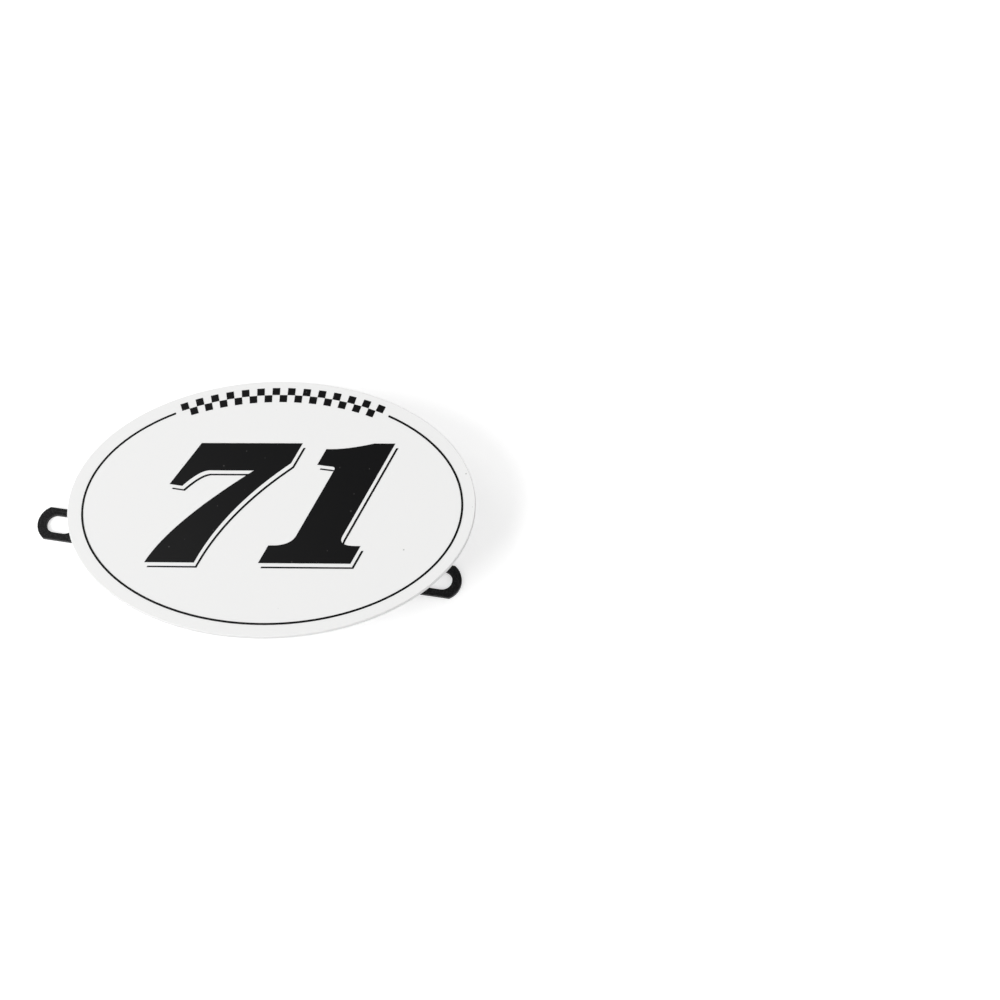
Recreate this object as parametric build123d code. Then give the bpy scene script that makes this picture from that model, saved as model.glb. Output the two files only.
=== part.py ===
from build123d import *
from math import acos, atan2, cos, degrees, radians, tan
import os

# A racing number board for a motorbike, in millimetres. An oval plate stands off a folded sheet bracket:
# three studs on its back pass through the bracket's T-shaped plate and take flange nuts. Two stepped arms
# end in slotted tabs that bolt to the machine.
# X runs along the line through the slots and +Z points out of the face that carries the number. The origin
# lies midway between the slots, on the plane that the tabs bolt down on.

# Oval plate
board_width = 260.0
board_height = 174.0
board_thick = 4.0
board_edge_break = 0.6
board_middle = (21.3, 14.7)  # the oval's centre, from the origin
board_turn = 8.5            # degrees, the oval's long axis against the line through the slots

# Folded bracket
sheet = 3.0
arm_step = 45.0             # from the tabs' rear faces to the rear face of the T-plate
bend_radius = 3.0           # inside the folds
first_bend = 50.5           # the folds beside the T-plate, from the middle
second_bend = 95.0          # the folds beside the tabs, from the middle
arm_width = 12.0
arm_root = 6.0              # how far the T-plate reaches out along each arm
stem_offset = 10.0          # the stem stands this far to one side of the middle
stem_width = 32.0
bar_turn = 9.6              # degrees, the T-plate's bar against the line through the slots
bar_width = 92.0
bar_height = 29.5
inner_corner_radius = 3.0
outer_corner_radius = 2.5

# Slotted tabs
slot_spacing = 254.0
slot_length = 19.0
slot_width = 12.5
slot_end_wall = 6.0
tab_length = 48.0
tab_width = 22.0
tab_end_radius = 13.0

# Studs and nuts, M6
stud_spacing = 61.0
upper_stud_height = 65.6    # above the line through the slots
lower_stud_depth = 31.0     # below the line through the slots
stud_diameter = 6.0
stud_length = 11.0
stud_tip_chamfer = 0.6
stud_base_diameter = 7.4
stud_base_thick = 0.9
stud_hole_clearance = 0.4   # all round the stud's base
nut_across_flats = 10.0
nut_height = 6.0
nut_flange_diameter = 14.2
nut_flange_edge = 1.1
nut_flange_rise = 1.4
nut_crown_angle = 30.0      # degrees
thread_clearance = 0.05     # between nut and stud, all round

# Printed film on the face
film = 0.2
print_shift = (0.8, -0.7)   # the print sits a little off the oval's centre
print_turn = -0.23          # degrees, the print against the oval's long axis
stripe_inset = 9.0
stripe_width = 1.3
stripe_gap = 138.0          # the stripe's opening at the top, measured straight across
stripe_gap_shift = 1.8      # its middle, to the right of the print's centre
chequer_size = 5.0
chequer_margin = 4.0        # between the stripe's ends and the chequers, measured straight across
chequer_seam = 0.1
number_height = 81.8
number_above_centre = 3.1
number_slant = 25.0         # degrees
digit_space = 16.2
drop_line_near = (1.2, 2.5)  # the drop line's inner edge, to the right of the figures and below them
drop_line_far = (2.0, 3.3)   # its outer edge

# The figure seven, before its slant. A pull is the point that a curve leans to: from the left, and below
# the top.
seven_width = 70.0
seven_top_left = 4.8
seven_bar = 19.0
seven_bar_end = 13.8
seven_notch = 49.0
seven_serif_width = 8.8
seven_serif_drop = 28.5
seven_serif_dip = 1.3
seven_serif_slope = 12.7
seven_serif_pull = (14.5, 18.3)
seven_foot_left = 14.0
seven_foot_width = 31.5
seven_inner_pull = (15.0, 55.4)
seven_outer_pull = (44.1, 45.0)

# The figure one, before its slant
one_width = 58.1
one_slab = 11.8
one_slab_bracket = (11.8, 6.8)  # the curve from slab to stem: along the slab, and up the stem
one_stem_left = 14.0
one_stem_width = 29.2
one_crown_width = 13.5
one_flag_left = 1.2
one_flag_drop = 4.0
one_flag_pull = (14.4, 4.4)
one_flag_thick = 10.8
one_flag_dip = 1.6
one_flag_corner = 2.5

# Levels above the plane of the tabs
plate_rear = arm_step
board_back = plate_rear + sheet
board_face = board_back + board_thick

# Places of the T-plate's bar, the oval's centre and the studs, seen on the face
bar_place = Pos(stem_offset, upper_stud_height) * Rot(Z=bar_turn)
oval_place = Pos(*board_middle) * Rot(Z=board_turn)
print_place = oval_place * Pos(*print_shift) * Rot(Z=print_turn)
stud_places = [
    bar_place * Pos(-stud_spacing / 2, 0),
    bar_place * Pos(stud_spacing / 2, 0),
    Pos(stem_offset, -lower_stud_depth),
]
slot_places = [Pos(-slot_spacing / 2, 0), Pos(slot_spacing / 2, 0)]


def soften(outline, inner, outer):
    """Rounds an outline's inward corners and then its outward ones."""
    filled = offset(offset(outline, inner), -inner)
    return offset(offset(filled, -outer), outer)


def make_board():
    """The oval plate, with both rims broken."""
    plate = extrude(Ellipse(board_width / 2, board_height / 2), board_thick)
    rims = plate.faces().filter_by(Axis.Z).edges()
    return oval_place * Pos(0, 0, board_back) * chamfer(rims, board_edge_break)


def make_bracket():
    """One folded sheet: the T-plate, with a stepped arm and a slotted tab to each side."""
    bar = bar_place * Rectangle(bar_width, bar_height)
    stem_middle = (upper_stud_height - lower_stud_depth) / 2
    stem = Pos(stem_offset, stem_middle) * Rectangle(stem_width, upper_stud_height + lower_stud_depth)
    stem_end = Pos(stem_offset, -lower_stud_depth) * Circle(stem_width / 2)
    arm_roots = Pos(stem_offset, 0) * Rectangle(stem_width + 2 * arm_root, arm_width)
    outline = soften(bar + stem + stem_end + arm_roots, inner_corner_radius, outer_corner_radius)
    plate = Pos(0, 0, plate_rear) * extrude(outline, sheet)

    tab_end = slot_spacing / 2 + slot_length / 2 + slot_end_wall
    tab_middle = tab_end - tab_length / 2
    tab = SlotOverall(tab_length, 2 * tab_end_radius) & Rectangle(tab_length, tab_width)
    strip = Rectangle(2 * tab_middle, arm_width) + [Pos(side * tab_middle, 0) * tab for side in (-1, 1)]
    low, high = sheet / 2, plate_rear + sheet / 2
    side_view = FilletPolyline(
        (-tab_end, low), (-second_bend, low), (-first_bend, high),
        (first_bend, high), (second_bend, low), (tab_end, low),
        radius=bend_radius + sheet / 2)
    folded = extrude(Plane.XZ * trace(side_view, sheet), tab_width, both=True)
    arms = folded & extrude(strip, board_back)

    slot = extrude(SlotOverall(slot_length, slot_width), sheet)
    stud_hole_radius = stud_base_diameter / 2 + stud_hole_clearance
    stud_hole = Pos(0, 0, plate_rear) * extrude(Circle(stud_hole_radius), sheet)
    holes = [place * slot for place in slot_places] + [place * stud_hole for place in stud_places]
    return plate + arms - holes


def make_studs():
    """Three studs, each standing on its wider base on the plate's back."""
    shank = extrude(Circle(stud_diameter / 2), -stud_length)
    shank = chamfer(shank.edges().sort_by(Axis.Z)[0], stud_tip_chamfer)
    stud = shank + extrude(Circle(stud_base_diameter / 2), -stud_base_thick)
    return [place * Pos(0, 0, board_back) * stud for place in stud_places]


def make_nuts():
    """Three flange nuts, drawn up against the rear of the T-plate, corners to top and bottom."""
    flat = nut_across_flats / 2
    corner = flat / cos(radians(30))
    crown = (corner - flat) * tan(radians(nut_crown_angle))
    flange_radius = nut_flange_diameter / 2
    flange_top = nut_flange_edge + nut_flange_rise
    flange = revolve(Plane.XZ * make_face(Polyline(
        (0, 0), (flange_radius, 0), (flange_radius, -nut_flange_edge), (flat, -flange_top), (0, -flange_top),
        close=True)))
    hexagon = Rot(Z=90) * RegularPolygon(flat, 6, major_radius=False)
    blank = revolve(Plane.XZ * make_face(Polyline(
        (0, 0), (corner, 0), (corner, crown - nut_height), (flat, -nut_height), (0, -nut_height),
        close=True)))
    body = extrude(hexagon, -nut_height) & blank
    bore = extrude(Circle(stud_diameter / 2 + thread_clearance), -nut_height)
    nut = flange + body - bore
    return [place * Pos(0, 0, plate_rear) * nut for place in stud_places]


def on_face(drawing):
    """Turns a drawing about the print's centre into film on the face."""
    return print_place * Pos(0, 0, board_face) * extrude(drawing, film)


def oval_arc(half_gap, across_top):
    """The stripe's own line, cut at half_gap to each side of the opening's middle."""
    long_radius = board_width / 2 - stripe_inset
    short_radius = board_height / 2 - stripe_inset
    right_end, left_end = [
        degrees(acos((stripe_gap_shift + side * half_gap) / long_radius)) for side in (1, -1)]
    opening = left_end - right_end
    start, sweep = (right_end, opening) if across_top else (left_end, 360 - opening)
    return EllipticalCenterArc((0, 0), long_radius, short_radius, start, arc_size=sweep)


def make_stripe():
    """The fine line inside the rim, open at the top."""
    return on_face(trace(oval_arc(stripe_gap / 2, across_top=False), stripe_width))


def make_chequers():
    """Two rows of chequers, which fill the stripe's opening."""
    line = oval_arc(stripe_gap / 2 - chequer_margin, across_top=True)
    columns = round(line.length / chequer_size)
    square = Rectangle(line.length / columns - chequer_seam, chequer_size - chequer_seam)
    squares = []
    for column in range(columns):
        along = (column + 0.5) / columns
        middle, way = line @ along, line % along
        row = chequer_size / 2 if column % 2 else -chequer_size / 2
        squares.append(Pos(middle.X, middle.Y) * Rot(Z=degrees(atan2(way.Y, way.X))) * Pos(0, row) * square)
    return [on_face(each) for each in squares]


def lean(x, y):
    """Slants a point of an upright figure about half its height."""
    return x + (y - number_height / 2) * tan(radians(number_slant)), y


def curve(start, pull, end):
    """A curve between two points of an upright figure, slanted with it."""
    return Bezier(lean(*start), lean(*pull), lean(*end))


def sides(*corners):
    """Straight sides through the corners of an upright figure, slanted with it."""
    return Polyline(*[lean(*corner) for corner in corners])


def below_top(across, down):
    """A point of an upright figure, given from its left and its top."""
    return across, number_height - down


def draw_seven():
    """A bar with a hanging serif, on a leg that sweeps down to the left."""
    serif_tip = below_top(seven_serif_width, seven_serif_drop + seven_serif_dip)
    serif_left = below_top(0, seven_serif_drop)
    serif_root = below_top(seven_serif_width + seven_serif_slope, seven_bar)
    bar_left, bar_right = below_top(seven_top_left, 0), below_top(seven_width, 0)
    bar_end, notch = below_top(seven_width, seven_bar_end), below_top(seven_notch, seven_bar)
    foot_left, foot_right = (seven_foot_left, 0), (seven_foot_left + seven_foot_width, 0)
    return make_face([
        sides(serif_tip, serif_left, bar_left, bar_right, bar_end),
        curve(bar_end, below_top(*seven_outer_pull), foot_right),
        sides(foot_right, foot_left),
        curve(foot_left, below_top(*seven_inner_pull), notch),
        sides(notch, serif_root),
        curve(serif_root, below_top(*seven_serif_pull), serif_tip),
    ])


def draw_one():
    """An upright on a slab foot with curved brackets, and a hollowed flag at its head."""
    stem_right = one_stem_left + one_stem_width
    along, up = one_slab_bracket
    bracket_top = one_slab + up
    flag_base = one_flag_drop + one_flag_thick
    flag_slope = one_flag_dip / (one_stem_left - one_flag_left)
    flag_tip, flag_foot = below_top(one_flag_left, one_flag_drop), below_top(one_flag_left, flag_base)
    flag_root = below_top(one_stem_left, flag_base + one_flag_dip)
    under_flag = (one_stem_left - one_flag_corner, flag_root[1] + flag_slope * one_flag_corner)
    below_flag = (one_stem_left, flag_root[1] - one_flag_corner)
    crown_left, crown_right = below_top(stem_right - one_crown_width, 0), below_top(stem_right, 0)
    left_bracket = (one_stem_left, bracket_top), (one_stem_left, one_slab), (one_stem_left - along, one_slab)
    right_bracket = (stem_right + along, one_slab), (stem_right, one_slab), (stem_right, bracket_top)
    return make_face([
        sides(flag_tip, flag_foot, under_flag),
        curve(under_flag, flag_root, below_flag),
        sides(below_flag, left_bracket[0]),
        curve(*left_bracket),
        sides(left_bracket[2], (0, one_slab), (0, 0)),
        sides((0, 0), (one_width, 0), (one_width, one_slab), right_bracket[0]),
        curve(*right_bracket),
        sides(right_bracket[2], crown_right, crown_left),
        curve(crown_left, below_top(*one_flag_pull), flag_tip),
    ])


def draw_number():
    """The two figures side by side, centred on the print."""
    whole = seven_width + digit_space + one_width
    low = number_above_centre - number_height / 2
    return [Pos(-whole / 2, low) * draw_seven(), Pos(whole / 2 - one_width, low) * draw_one()]


def make_number():
    """The figures as solid film."""
    return [on_face(figure) for figure in draw_number()]


def make_drop_line():
    """A fine line that follows the figures' lower and right edges, a little way off."""
    figures = draw_number()
    lines = []
    for figure in figures:
        far, near = [Pos(across, -down) * figure for across, down in (drop_line_far, drop_line_near)]
        lines += [on_face(face) for face in (far - near - figures).faces()]
    return lines


nodes = {
    "number_board": make_board(),
    "mounting_bracket": make_bracket(),
    "board_studs": make_studs(),
    "flange_nuts": make_nuts(),
    "border_stripe": make_stripe(),
    "chequer_band": make_chequers(),
    "race_number": make_number(),
    "number_drop_line": make_drop_line(),
}
os.makedirs("parts", exist_ok=True)
for name, shape in nodes.items():
    solids = [solid for piece in (shape if isinstance(shape, list) else [shape]) for solid in piece.solids()]
    export_step(Compound(children=solids) if len(solids) > 1 else solids[0], f"parts/{name}.step")
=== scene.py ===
import math
import bmesh
import bpy
from mathutils import Matrix, Vector


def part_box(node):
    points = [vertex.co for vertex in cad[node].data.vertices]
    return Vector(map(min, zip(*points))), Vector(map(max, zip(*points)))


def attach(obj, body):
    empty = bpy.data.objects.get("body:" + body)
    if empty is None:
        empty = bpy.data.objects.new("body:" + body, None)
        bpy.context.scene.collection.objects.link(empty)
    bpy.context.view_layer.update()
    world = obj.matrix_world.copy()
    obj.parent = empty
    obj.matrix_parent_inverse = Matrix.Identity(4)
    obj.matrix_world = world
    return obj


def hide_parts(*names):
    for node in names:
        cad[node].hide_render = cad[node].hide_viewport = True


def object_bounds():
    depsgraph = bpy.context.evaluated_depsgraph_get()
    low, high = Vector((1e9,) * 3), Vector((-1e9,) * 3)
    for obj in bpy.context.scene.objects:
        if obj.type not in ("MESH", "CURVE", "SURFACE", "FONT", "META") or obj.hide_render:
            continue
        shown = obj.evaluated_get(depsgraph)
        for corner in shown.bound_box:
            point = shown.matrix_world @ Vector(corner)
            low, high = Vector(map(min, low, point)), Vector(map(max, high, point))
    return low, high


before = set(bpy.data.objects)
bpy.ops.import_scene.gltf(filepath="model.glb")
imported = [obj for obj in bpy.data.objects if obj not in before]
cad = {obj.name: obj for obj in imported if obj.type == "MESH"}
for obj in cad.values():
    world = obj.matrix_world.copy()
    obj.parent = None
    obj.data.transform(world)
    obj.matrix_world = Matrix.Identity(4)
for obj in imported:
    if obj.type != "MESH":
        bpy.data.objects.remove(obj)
cad_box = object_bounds()


# Number plate. One oval of aluminium sheet, blanked out and rounded over at the rim.
# It is powder coated white, with the faint orange peel of such a coat and a few specks.
# Three studs on its back carry it, so that its face stays clear of screws.
scene = bpy.context.scene


def put_in_scene(name, data):
    """A new object of the scene, at the origin, unturned and unscaled."""
    thing = bpy.data.objects.new(name, data)
    scene.collection.objects.link(thing)
    return thing


def make_plain(piece):
    """Settles a piece's modifiers into one plain mesh."""
    depsgraph = bpy.context.evaluated_depsgraph_get()
    settled = bpy.data.meshes.new_from_object(piece.evaluated_get(depsgraph))
    piece.modifiers.clear()
    piece.data = settled


def finish_named(name, colour, roughness, specular):
    """A new finish with plain settings: the finish, its nodes, its links and its shader."""
    finish = bpy.data.materials.new(name)
    finish.use_nodes = True
    shader = finish.node_tree.nodes["Principled BSDF"]
    shader.inputs["Base Color"].default_value = (*colour, 1)
    shader.inputs["Roughness"].default_value = roughness
    shader.inputs["Specular IOR Level"].default_value = specular
    return finish, finish.node_tree.nodes, finish.node_tree.links, shader


def grain(nodes, links, grain_size, detail):
    """Noise of a given grain size in metres, on the piece's own coordinates."""
    place = nodes.new("ShaderNodeTexCoord")
    noise = nodes.new("ShaderNodeTexNoise")
    noise.inputs["Scale"].default_value = 1 / grain_size
    noise.inputs["Detail"].default_value = detail
    links.new(place.outputs["Object"], noise.inputs["Vector"])
    return noise.outputs["Fac"]


def raise_surface(nodes, links, shader, height, relief, strength):
    """Bumps a finish by a height pattern, with its relief in metres."""
    bump = nodes.new("ShaderNodeBump")
    bump.inputs["Distance"].default_value = relief
    bump.inputs["Strength"].default_value = strength
    links.new(height, bump.inputs["Height"])
    links.new(bump.outputs["Normal"], shader.inputs["Normal"])


def dust(nodes, links, shader, clean, speck, spacing, speck_size):
    """Scatters soft specks over a flat finish, about one to a square of the given spacing.

    Each speck has a size of its own, up to the given one.
    """
    place = nodes.new("ShaderNodeTexCoord")
    cells = nodes.new("ShaderNodeTexVoronoi")
    cells.voronoi_dimensions = "2D"
    cells.inputs["Scale"].default_value = 1 / spacing
    own_size = nodes.new("ShaderNodeMath")
    own_size.operation = "DIVIDE"
    tint = nodes.new("ShaderNodeValToRGB")
    tint.color_ramp.elements[0].color = (*speck, 1)
    tint.color_ramp.elements[1].position = speck_size / 2 / spacing
    tint.color_ramp.elements[1].color = (*clean, 1)
    links.new(place.outputs["Object"], cells.inputs["Vector"])
    links.new(cells.outputs["Distance"], own_size.inputs[0])
    links.new(cells.outputs["Color"], own_size.inputs[1])
    links.new(own_size.outputs["Value"], tint.inputs["Fac"])
    links.new(tint.outputs["Color"], shader.inputs["Base Color"])


plate_turn = math.radians(8.5)
plate_rim_radius = 0.0005
plate_rim_bend = math.radians(90)
plate_rim_steps = 5
plate_points_around = 256
plate_white = (0.855, 0.855, 0.85)
plate_roughness = 0.42
plate_specular = 0.35
plate_speck = (0.3, 0.3, 0.29)
plate_speck_spacing = 0.07
plate_speck_size = 0.0015
orange_peel_size = 0.0016
orange_peel_detail = 2
orange_peel_relief = 0.00002
orange_peel_strength = 0.5

plate_low, plate_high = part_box("number_board")
plate_middle = (plate_low + plate_high) / 2
plate_place = Matrix.Translation(plate_middle) @ Matrix.Rotation(plate_turn, 4, "Z")
to_plate = plate_place.inverted()
plate_corners = [to_plate @ vertex.co for vertex in cad["number_board"].data.vertices]
plate_long_radius = max(corner.x for corner in plate_corners)
plate_short_radius = max(corner.y for corner in plate_corners)
plate_half_thick = max(corner.z for corner in plate_corners)

rim = []
for step in range(plate_rim_steps + 1):
    bend = plate_rim_bend * step / plate_rim_steps
    inset = plate_rim_radius * (1 - math.sin(bend))
    rim.append((inset, plate_half_thick - plate_rim_radius * (1 - math.cos(bend))))
rim += [(inset, -level) for inset, level in reversed(rim)]
plate_points = []
for inset, level in rim:
    for spot in range(plate_points_around):
        angle = math.tau * spot / plate_points_around
        along = (plate_long_radius - inset) * math.cos(angle)
        across = (plate_short_radius - inset) * math.sin(angle)
        plate_points.append(plate_place @ Vector((along, across, level)))
plate_faces = [list(range(plate_points_around))]
for ring in range(len(rim) - 1):
    upper, lower = ring * plate_points_around, (ring + 1) * plate_points_around
    for spot in range(plate_points_around):
        after = (spot + 1) % plate_points_around
        plate_faces.append([upper + spot, lower + spot, lower + after, upper + after])
plate_faces.append([lower + spot for spot in reversed(range(plate_points_around))])
plate_mesh = bpy.data.meshes.new("white_plate")
plate_mesh.from_pydata(plate_points, [], plate_faces)
plate_mesh.shade_smooth()
plate = put_in_scene("white_plate", plate_mesh)
plate.modifiers.new("flat faces stay flat", "WEIGHTED_NORMAL")
make_plain(plate)

white_coat, nodes, links, shader = finish_named(
    "white_powder_coat", plate_white, plate_roughness, plate_specular)
orange_peel = grain(nodes, links, orange_peel_size, orange_peel_detail)
raise_surface(nodes, links, shader, orange_peel, orange_peel_relief, orange_peel_strength)
dust(nodes, links, shader, plate_white, plate_speck, plate_speck_spacing, plate_speck_size)
plate.data.materials.append(white_coat)
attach(plate, "root")
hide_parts("number_board")


# Print. Stripe, chequers, figures and their drop line are cut from thin satin black film.
# The film lies on the plate's white coat and is pressed down by hand, edge to edge.
merge_distance = 1e-6
flat_angle = math.radians(0.5)


def merged_shape(mesh):
    """The shape of a CAD mesh, with its loose triangles joined at their corners."""
    shape = bmesh.new()
    shape.from_mesh(mesh)
    bmesh.ops.remove_doubles(shape, verts=shape.verts, dist=merge_distance)
    return shape


def joined_copy(name):
    """A CAD piece's mesh copied, and its shape with the facets joined into whole faces."""
    mesh = cad[name].data.copy()
    shape = merged_shape(mesh)
    bmesh.ops.dissolve_limit(shape, angle_limit=flat_angle, verts=shape.verts, edges=shape.edges)
    return mesh, shape


film_black = (0.0046, 0.0046, 0.005)
film_roughness = 0.34
film_specular = 0.19
film_sheen_least, film_sheen_most = 0.29, 0.39
film_grain_size = 0.004
film_grain_detail = 4
film_speck = (0.08, 0.08, 0.078)
film_speck_spacing = 0.02
film_speck_size = 0.0018
drop_line_spread = 0.00009
wall_lean = 0.5

black_film, nodes, links, shader = finish_named(
    "black_film", film_black, film_roughness, film_specular)
sheen = nodes.new("ShaderNodeMapRange")
sheen.inputs["To Min"].default_value = film_sheen_least
sheen.inputs["To Max"].default_value = film_sheen_most
links.new(grain(nodes, links, film_grain_size, film_grain_detail), sheen.inputs["Value"])
links.new(sheen.outputs["Result"], shader.inputs["Roughness"])
dust(nodes, links, shader, film_black, film_speck, film_speck_spacing, film_speck_size)
for name in ("border_stripe", "chequer_band", "race_number"):
    cad[name].data.materials.clear()
    cad[name].data.materials.append(black_film)

# The drop line is spread a little to both sides, so that so fine a line stays black to the eye.
line_mesh, line_shape = joined_copy("number_drop_line")
line_moves = []
for corner in line_shape.verts:
    walls = [face.normal for face in corner.link_faces if abs(face.normal.z) < wall_lean]
    outward = sum(walls, Vector())
    line_moves.append(outward * drop_line_spread * len(walls) / outward.length_squared)
for corner, move in zip(line_shape.verts, line_moves):
    corner.co += move
line_shape.to_mesh(line_mesh)
line_shape.free()
line_mesh.materials.clear()
line_mesh.materials.append(black_film)
drop_line = put_in_scene("black_drop_line", line_mesh)
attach(drop_line, "root")
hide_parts("number_drop_line")


# Studs. Three M6 studs of bright metal, welded to the plate's back on a small collar.
# Their rolled threads pass through the bracket and stand a little proud of the nuts.
def solid_middles(node):
    """The middle of each separate solid of a CAD node."""
    shape = merged_shape(node.data)
    middles, seen = [], set()
    for first in shape.verts:
        if first in seen:
            continue
        seen.add(first)
        solid = [first]
        for vertex in solid:
            fresh = {edge.other_vert(vertex) for edge in vertex.link_edges} - seen
            seen |= fresh
            solid.extend(fresh)
        spans = [[vertex.co[axis] for vertex in solid] for axis in range(3)]
        middles.append(Vector([(min(span) + max(span)) / 2 for span in spans]))
    shape.free()
    return middles


stud_radius = 0.003
stud_tip_chamfer = 0.0006
stud_collar_radius = 0.0037
stud_collar_height = 0.0009
thread_pitch = 0.001
thread_depth = 0.0006
thread_rows_per_turn = 12
stud_points_around = 48
stud_sharp_angle = math.radians(35)
stud_end_share = 1e-4
stud_metal_colour = (0.82, 0.82, 0.81)
stud_roughness = 0.5
stud_specular = 0.5
stud_grain_size = 0.0004
stud_grain_detail = 2
stud_grain_relief = 0.00001
stud_grain_strength = 0.3

stud_low, stud_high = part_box("board_studs")
stud_length = stud_high.z - stud_low.z
stud_rows = round(stud_length / thread_pitch * thread_rows_per_turn)

stud_metal, nodes, links, shader = finish_named(
    "bright_stud", stud_metal_colour, stud_roughness, stud_specular)
shader.inputs["Metallic"].default_value = 1
stud_grain = grain(nodes, links, stud_grain_size, stud_grain_detail)
raise_surface(nodes, links, shader, stud_grain, stud_grain_relief, stud_grain_strength)

tree = bpy.data.node_groups.new("threaded_studs", "GeometryNodeTree")
tree.interface.new_socket("Geometry", in_out="INPUT", socket_type="NodeSocketGeometry")
stud_sizes = {
    "Radius": stud_radius,
    "Length": stud_length,
    "Pitch": thread_pitch,
    "Thread depth": thread_depth,
    "Tip chamfer": stud_tip_chamfer,
    "Collar radius": stud_collar_radius,
    "Collar height": stud_collar_height,
}
for label in stud_sizes:
    tree.interface.new_socket(label, in_out="INPUT", socket_type="NodeSocketFloat")
tree.interface.new_socket("Geometry", in_out="OUTPUT", socket_type="NodeSocketGeometry")
group_in = tree.nodes.new("NodeGroupInput")
group_out = tree.nodes.new("NodeGroupOutput")
size = group_in.outputs


def reckon(operation, *values):
    """One Math node of the stud tree, fed with sockets or plain numbers."""
    node = tree.nodes.new("ShaderNodeMath")
    node.operation = operation
    for slot, value in zip(node.inputs, values):
        if isinstance(value, (int, float)):
            slot.default_value = value
        else:
            tree.links.new(value, slot)
    return node.outputs["Value"]


# The skin of a stud starts as a flat sheet, one unit wide and high about its middle.
# Its X runs once around the stud and its Y from collar to tip.
# The first and the last row close the two ends.
sheet = tree.nodes.new("GeometryNodeMeshGrid")
sheet.inputs["Size X"].default_value = 1
sheet.inputs["Size Y"].default_value = 1
sheet.inputs["Vertices X"].default_value = stud_points_around + 1
sheet.inputs["Vertices Y"].default_value = stud_rows + 1
sheet_point = tree.nodes.new("GeometryNodeInputPosition")
split = tree.nodes.new("ShaderNodeSeparateXYZ")
tree.links.new(sheet_point.outputs["Position"], split.inputs["Vector"])
turn = reckon("ADD", split.outputs["X"], 0.5)
share = reckon("ADD", split.outputs["Y"], 0.5)
to_last_ring = stud_rows / (stud_rows - 1)
height_share = reckon("MINIMUM", reckon("MULTIPLY", share, to_last_ring), 1)
height = reckon("MULTIPLY", height_share, size["Length"])
phase = reckon("FRACT", reckon("ADD", reckon("DIVIDE", height, size["Pitch"]), turn))
crest = reckon("ABSOLUTE", reckon("SUBTRACT", reckon("MULTIPLY", phase, 2), 1))
groove = reckon("SUBTRACT", 1, crest)
threaded = reckon("SUBTRACT", size["Radius"], reckon("MULTIPLY", groove, size["Thread depth"]))
to_tip = reckon("SUBTRACT", size["Length"], height)
tip = reckon("ADD", reckon("SUBTRACT", size["Radius"], size["Tip chamfer"]), to_tip)
shank = reckon("MINIMUM", threaded, tip)
on_collar = reckon("LESS_THAN", height, size["Collar height"])
collar_step = reckon("MULTIPLY", on_collar, reckon("SUBTRACT", size["Collar radius"], shank))
girth = reckon("ADD", shank, collar_step)
past_first_row = reckon("GREATER_THAN", share, stud_end_share)
short_of_last_row = reckon("LESS_THAN", share, 1 - stud_end_share)
is_skin = reckon("MULTIPLY", past_first_row, short_of_last_row)
skin_radius = reckon("MULTIPLY", girth, is_skin)
turn_angle = reckon("MULTIPLY", turn, math.tau)
join = tree.nodes.new("ShaderNodeCombineXYZ")
roll_up = tree.nodes.new("GeometryNodeSetPosition")
close_seam = tree.nodes.new("GeometryNodeMergeByDistance")
close_seam.inputs["Distance"].default_value = merge_distance
set_studs = tree.nodes.new("GeometryNodeInstanceOnPoints")
realize = tree.nodes.new("GeometryNodeRealizeInstances")
coat = tree.nodes.new("GeometryNodeSetMaterial")
coat.inputs["Material"].default_value = stud_metal
for source, target in (
    (reckon("MULTIPLY", skin_radius, reckon("COSINE", turn_angle)), join.inputs["X"]),
    (reckon("MULTIPLY", skin_radius, reckon("SINE", turn_angle)), join.inputs["Y"]),
    (reckon("MULTIPLY", height, -1), join.inputs["Z"]),
    (sheet.outputs["Mesh"], roll_up.inputs["Geometry"]),
    (join.outputs["Vector"], roll_up.inputs["Position"]),
    (roll_up.outputs["Geometry"], close_seam.inputs["Geometry"]),
    (group_in.outputs["Geometry"], set_studs.inputs["Points"]),
    (close_seam.outputs["Geometry"], set_studs.inputs["Instance"]),
    (set_studs.outputs["Instances"], realize.inputs["Geometry"]),
    (realize.outputs["Geometry"], coat.inputs["Geometry"]),
    (coat.outputs["Geometry"], group_out.inputs["Geometry"]),
):
    tree.links.new(source, target)

stud_roots = [
    Vector((middle.x, middle.y, stud_high.z)) for middle in solid_middles(cad["board_studs"])]
stud_mesh = bpy.data.meshes.new("threaded_studs")
stud_mesh.from_pydata(stud_roots, [], [])
studs = put_in_scene("threaded_studs", stud_mesh)
threading = studs.modifiers.new("threads", "NODES")
threading.node_group = tree
for socket in tree.interface.items_tree:
    if socket.in_out == "INPUT" and socket.name in stud_sizes:
        threading[socket.identifier] = stud_sizes[socket.name]
make_plain(studs)
studs.data.set_sharp_from_angle(angle=stud_sharp_angle)
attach(studs, "root")
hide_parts("board_studs")


# Mounting bracket. One piece of steel sheet, laser cut and folded twice in each arm.
# A slot in each tab takes a bolt, and three holes in its plate take the studs.
# Its cut edges are eased and it is powder coated black, with the fine dry grain of a texture coat.
easing_steps = 3
easing_angle = math.radians(28)


def ease_edges(name, new_name, edge_radius):
    """A copy of a CAD piece, with its facets joined and its sharp edges rounded."""
    mesh, shape = joined_copy(name)
    shape.to_mesh(mesh)
    shape.free()
    mesh.shade_smooth()
    mesh.materials.clear()
    piece = put_in_scene(new_name, mesh)
    easing = piece.modifiers.new("eased edges", "BEVEL")
    easing.width = edge_radius
    easing.segments = easing_steps
    easing.limit_method = "ANGLE"
    easing.angle_limit = easing_angle
    piece.modifiers.new("flat faces stay flat", "WEIGHTED_NORMAL")
    make_plain(piece)
    return piece


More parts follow.
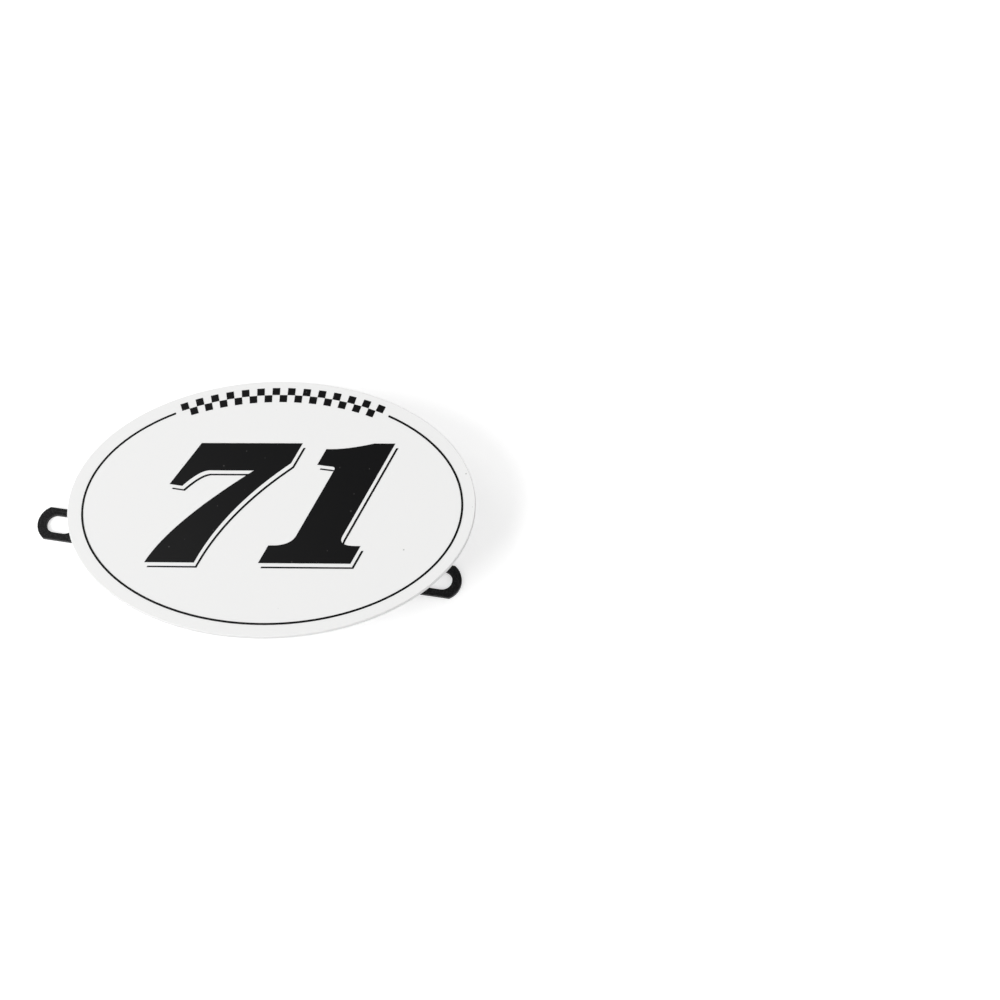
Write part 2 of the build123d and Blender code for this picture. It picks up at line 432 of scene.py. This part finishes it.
bracket_edge_radius = 0.0005
bracket_dark = (0.002, 0.002, 0.0022)
bracket_pale = (0.023, 0.023, 0.024)
bracket_roughness = 0.5
bracket_specular = 0.25
coat_grain_size = 0.001
coat_grain_detail = 3
coat_relief = 0.00012
coat_strength = 0.6
mottle_dark_up_to, mottle_pale_from = 0.46, 0.64

bracket = ease_edges("mounting_bracket", "folded_bracket", bracket_edge_radius)
texture_coat, nodes, links, shader = finish_named(
    "black_texture_coat", bracket_dark, bracket_roughness, bracket_specular)
coat_grain = grain(nodes, links, coat_grain_size, coat_grain_detail)
mottle = nodes.new("ShaderNodeValToRGB")
mottle.color_ramp.elements[0].position = mottle_dark_up_to
mottle.color_ramp.elements[0].color = (*bracket_dark, 1)
mottle.color_ramp.elements[1].position = mottle_pale_from
mottle.color_ramp.elements[1].color = (*bracket_pale, 1)
links.new(coat_grain, mottle.inputs["Fac"])
links.new(mottle.outputs["Color"], shader.inputs["Base Color"])
raise_surface(nodes, links, shader, coat_grain, coat_relief, coat_strength)
bracket.data.materials.append(texture_coat)
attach(bracket, "root")
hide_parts("mounting_bracket")


# Nuts. Three M6 flange nuts, cold formed in steel and plated glossy black.
# They are drawn up against the rear of the bracket and hold it to the plate's studs.
nut_edge_radius = 0.00025
nut_black = (0.005, 0.005, 0.0055)
nut_roughness = 0.12
nut_specular = 0.5
nut_coat_weight = 0.3
nut_coat_roughness = 0.05
nut_grain_size = 0.0012
nut_grain_detail = 2
nut_grain_relief = 0.00002
nut_grain_strength = 0.25

nuts = ease_edges("flange_nuts", "black_flange_nuts", nut_edge_radius)
black_plating, nodes, links, shader = finish_named(
    "black_plating", nut_black, nut_roughness, nut_specular)
shader.inputs["Coat Weight"].default_value = nut_coat_weight
shader.inputs["Coat Roughness"].default_value = nut_coat_roughness
nut_grain = grain(nodes, links, nut_grain_size, nut_grain_detail)
raise_surface(nodes, links, shader, nut_grain, nut_grain_relief, nut_grain_strength)
nuts.data.materials.append(black_plating)
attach(nuts, "root")
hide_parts("flange_nuts")


# Studio floor. A wide pale sweep of board, on which the tabs lie.
# The camera and the shiny pieces see some white of its own on top of the light that falls on it.
def seen_rays(nodes, links):
    """One for rays from the camera, a shiny piece or a clear one, and nought for the rest."""
    rays = nodes.new("ShaderNodeLightPath")
    seen = rays.outputs["Is Camera Ray"]
    for kind in ("Is Glossy Ray", "Is Transmission Ray"):
        either = nodes.new("ShaderNodeMath")
        either.operation = "MAXIMUM"
        links.new(seen, either.inputs[0])
        links.new(rays.outputs[kind], either.inputs[1])
        seen = either.outputs["Value"]
    return seen


floor_reach = 12.0
floor_pale = (0.72, 0.72, 0.72)
floor_roughness = 0.9
floor_specular = 0.0
floor_own_white = 0.515

floor_level = cad_box[0][2]
floor_corners = [
    (x * floor_reach, y * floor_reach, floor_level)
    for x, y in ((-1, -1), (1, -1), (1, 1), (-1, 1))]
floor_mesh = bpy.data.meshes.new("studio_floor")
floor_mesh.from_pydata(floor_corners, [], [(0, 1, 2, 3)])
floor = put_in_scene("studio_floor", floor_mesh)
floor_white, nodes, links, shader = finish_named(
    "floor_white", floor_pale, floor_roughness, floor_specular)
own_white = nodes.new("ShaderNodeEmission")
share_seen = nodes.new("ShaderNodeMath")
share_seen.operation = "MULTIPLY"
share_seen.inputs[1].default_value = floor_own_white
lit_and_own = nodes.new("ShaderNodeAddShader")
links.new(seen_rays(nodes, links), share_seen.inputs[0])
links.new(share_seen.outputs["Value"], own_white.inputs["Strength"])
links.new(shader.outputs["BSDF"], lit_and_own.inputs[0])
links.new(own_white.outputs["Emission"], lit_and_own.inputs[1])
links.new(lit_and_own.outputs["Shader"], nodes["Material Output"].inputs["Surface"])
floor.data.materials.append(floor_white)


# Studio light. A broad key light from the lower left, a softbox to the left and a small fill to
# the right, in a pale even room. To the camera and to shiny pieces the room shows white at its
# walls and darker overhead.
def hang_box_lamp(name, energy, lamp_size, way, reach):
    """Hangs a square lamp at some reach from the board's middle, facing it."""
    board_middle = (Vector(cad_box[0]) + Vector(cad_box[1])) / 2
    lamp = bpy.data.lights.new(name, "AREA")
    lamp.energy = energy
    lamp.size = lamp_size
    hung = put_in_scene(name, lamp)
    hung.location = board_middle + way * reach
    hung.rotation_euler = way.to_track_quat("Z", "Y").to_euler()


key_energy = 1.86
key_spread = math.radians(34)
key_way = Vector((-0.5, -0.5, 0.707))
softbox_energy, softbox_size, softbox_reach = 2.0, 0.6, 1.4
softbox_way = Vector((-0.45, 0.16, 0.88))
fill_energy, fill_size, fill_reach = 0.5, 0.35, 1.5
fill_way = Vector((0.72, -0.2, 0.66))
room_light = 0.51
room_wall_top, room_ceiling_start = 0.2, 0.4
room_wall_white, room_ceiling_white = 1.0, 0.1

key = bpy.data.lights.new("key", "SUN")
key.energy = key_energy
key.angle = key_spread
key_lamp = put_in_scene("key", key)
key_lamp.rotation_euler = key_way.to_track_quat("Z", "Y").to_euler()
hang_box_lamp("softbox", softbox_energy, softbox_size, softbox_way, softbox_reach)
hang_box_lamp("fill", fill_energy, fill_size, fill_way, fill_reach)

room = bpy.data.worlds.new("pale_room")
room.use_nodes = True
scene.world = room
nodes, links = room.node_tree.nodes, room.node_tree.links
room_way = nodes.new("ShaderNodeTexCoord")
upward = nodes.new("ShaderNodeSeparateXYZ")
dimming = nodes.new("ShaderNodeMapRange")
dimming.inputs["From Min"].default_value = room_wall_top
dimming.inputs["From Max"].default_value = room_ceiling_start
dimming.inputs["To Min"].default_value = room_wall_white
dimming.inputs["To Max"].default_value = room_ceiling_white
room_level = nodes.new("ShaderNodeMix")
room_level.inputs["A"].default_value = room_light
links.new(room_way.outputs["Generated"], upward.inputs["Vector"])
links.new(upward.outputs["Z"], dimming.inputs["Value"])
links.new(seen_rays(nodes, links), room_level.inputs["Factor"])
links.new(dimming.outputs["Result"], room_level.inputs["B"])
links.new(room_level.outputs["Result"], nodes["Background"].inputs["Strength"])
nodes["Background"].inputs["Color"].default_value = (1, 1, 1, 1)


# Camera. A long lens at about 1.4 m, so that the oval shows little perspective.
# It looks down on the face from the lower right, turned a little about its own axis.
aim = Vector((0.16435, 0.04054, 0.052))
distance = 1.3725
azimuth = math.radians(21.652)
elevation = math.radians(66.58)
roll = math.radians(-12.005)
focal_length = 79.2

backward = Vector((
    math.sin(azimuth) * math.cos(elevation),
    -math.cos(azimuth) * math.cos(elevation),
    math.sin(elevation)))
level_view = backward.to_track_quat("Z", "Y").to_matrix().to_4x4()
lens = bpy.data.cameras.new("camera")
lens.lens = focal_length
camera = put_in_scene("camera", lens)
camera_place = Matrix.Translation(aim + backward * distance)
camera.matrix_world = camera_place @ level_view @ Matrix.Rotation(roll, 4, "Z")
scene.camera = camera
scene.view_settings.view_transform = "Standard"
